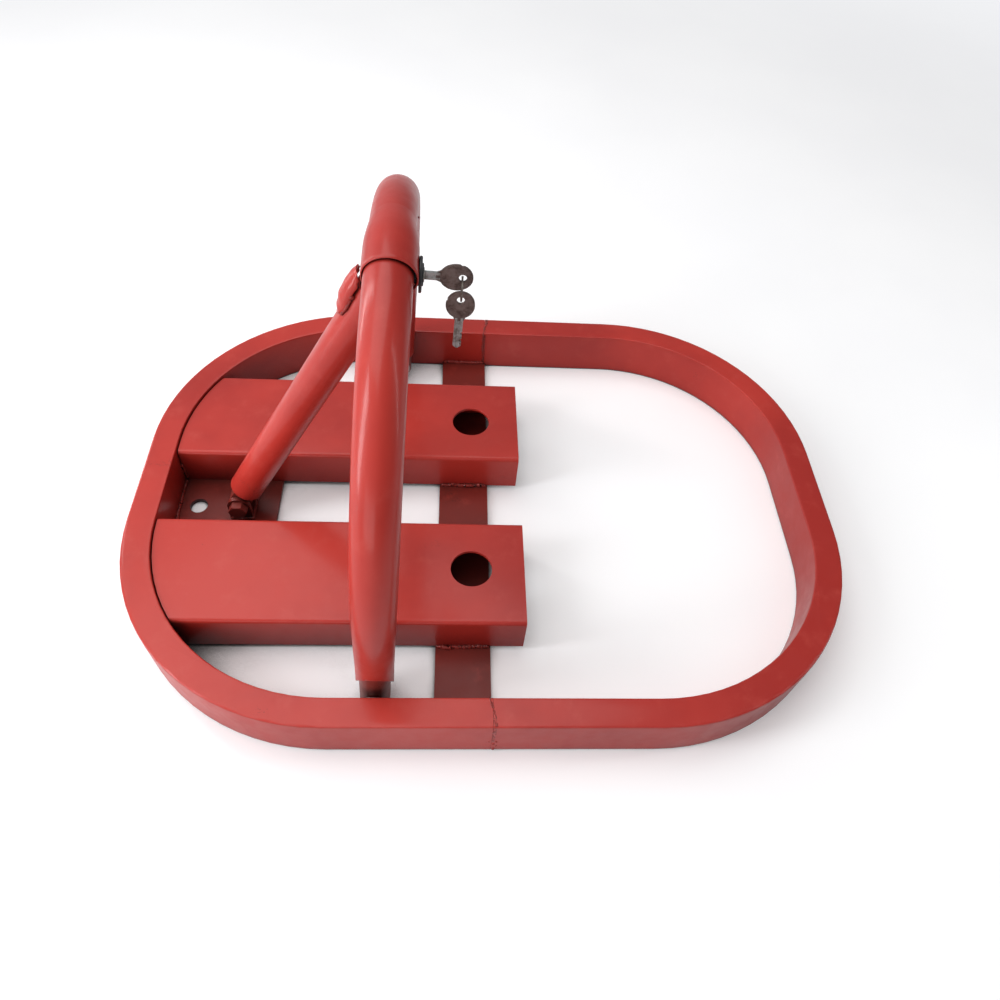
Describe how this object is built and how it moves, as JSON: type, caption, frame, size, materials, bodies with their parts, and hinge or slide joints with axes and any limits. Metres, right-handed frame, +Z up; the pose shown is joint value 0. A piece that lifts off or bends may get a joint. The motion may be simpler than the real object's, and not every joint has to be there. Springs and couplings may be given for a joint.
{
  "type": "folding parking lock",
  "caption": "Fold-down parking space barrier: an oval steel ground frame with two anchor covers, a hinged hoop and a prop that a keyed cam lock holds upright.",
  "frame": {"origin": "middle of the ground ring's footprint, on the ground", "axes": "+X along the ring towards the side that the hoop folds down to, +Y across it to the back, +Z up"},
  "size_m": [0.68, 0.5, 0.3441],
  "materials": {
    "red_enamel": "semi-gloss",
    "zinc_fasteners": "satin",
    "black_lock": "satin",
    "lock_steel": "satin",
    "key_metal": "tarnished",
    "ring_steel": "satin"
  },
  "bodies": {
    "base": {"ring_left_half": "red_enamel", "ring_right_half": "red_enamel", "cross_strap": "red_enamel", "anchor_plate": "red_enamel", "anchor_cover_front": "red_enamel", "anchor_cover_back": "red_enamel", "pivot_bolt_front": "zinc_fasteners", "pivot_spacer_front": "zinc_fasteners", "pivot_washer_front": "zinc_fasteners", "pivot_nut_front": "zinc_fasteners", "pivot_bolt_back": "zinc_fasteners", "pivot_spacer_back": "zinc_fasteners", "pivot_washer_back": "zinc_fasteners", "pivot_nut_back": "zinc_fasteners", "brace_bracket": "red_enamel", "brace_pin": "red_enamel", "brace_pin_nut": "red_enamel"},
    "hoop": {"hoop_tube": "red_enamel", "lock_sleeve": "red_enamel", "foot_plug_front": "red_enamel", "foot_plug_back": "red_enamel", "lock_barrel": "black_lock", "lock_flange": "black_lock"},
    "brace": {"brace_tube": "red_enamel", "brace_foot": "red_enamel", "brace_saddle": "red_enamel", "lock_tongue": "lock_steel"},
    "lock_plug": {"lock_plug": "lock_steel", "lock_cam": "lock_steel", "cam_screw": "zinc_fasteners"},
    "key": {"lock_key": "key_metal"},
    "key_ring": {"key_ring": "ring_steel"},
    "spare_key": {"spare_key": "key_metal"}
  },
  "joints": [
    {"name": "hoop_fold", "type": "hinge", "parent": "base", "child": "hoop", "pos_m": [-0.1013, 0, 0.025], "axis": [0, 1, 0], "range_deg": [0, 87]},
    {"name": "brace_fold", "type": "hinge", "parent": "base", "child": "brace", "pos_m": [-0.249, 0, 0.024], "axis": [0, 1, 0], "range_deg": [0, 59]},
    {"name": "lock_turn", "type": "hinge", "parent": "hoop", "child": "lock_plug", "pos_m": [-0.08686, -0.021, 0.31514], "axis": [-0.9988, 0, 0.0497], "range_deg": [0, 90]},
    {"name": "key_slide", "type": "slide", "parent": "lock_plug", "child": "key", "axis": [0.9988, 0, -0.0497], "range_m": [0, 0.02]},
    {"name": "ring_swing", "type": "hinge", "parent": "key", "child": "key_ring", "pos_m": [-0.03518, -0.021, 0.31137], "axis": [0.9988, 0, -0.0497], "range_deg": [-28, 28]},
    {"name": "spare_swing", "type": "hinge", "parent": "key_ring", "child": "spare_key", "pos_m": [-0.03603, -0.021, 0.29439], "axis": [0.9988, 0, -0.0497], "range_deg": [-25, 25]}
  ]
}
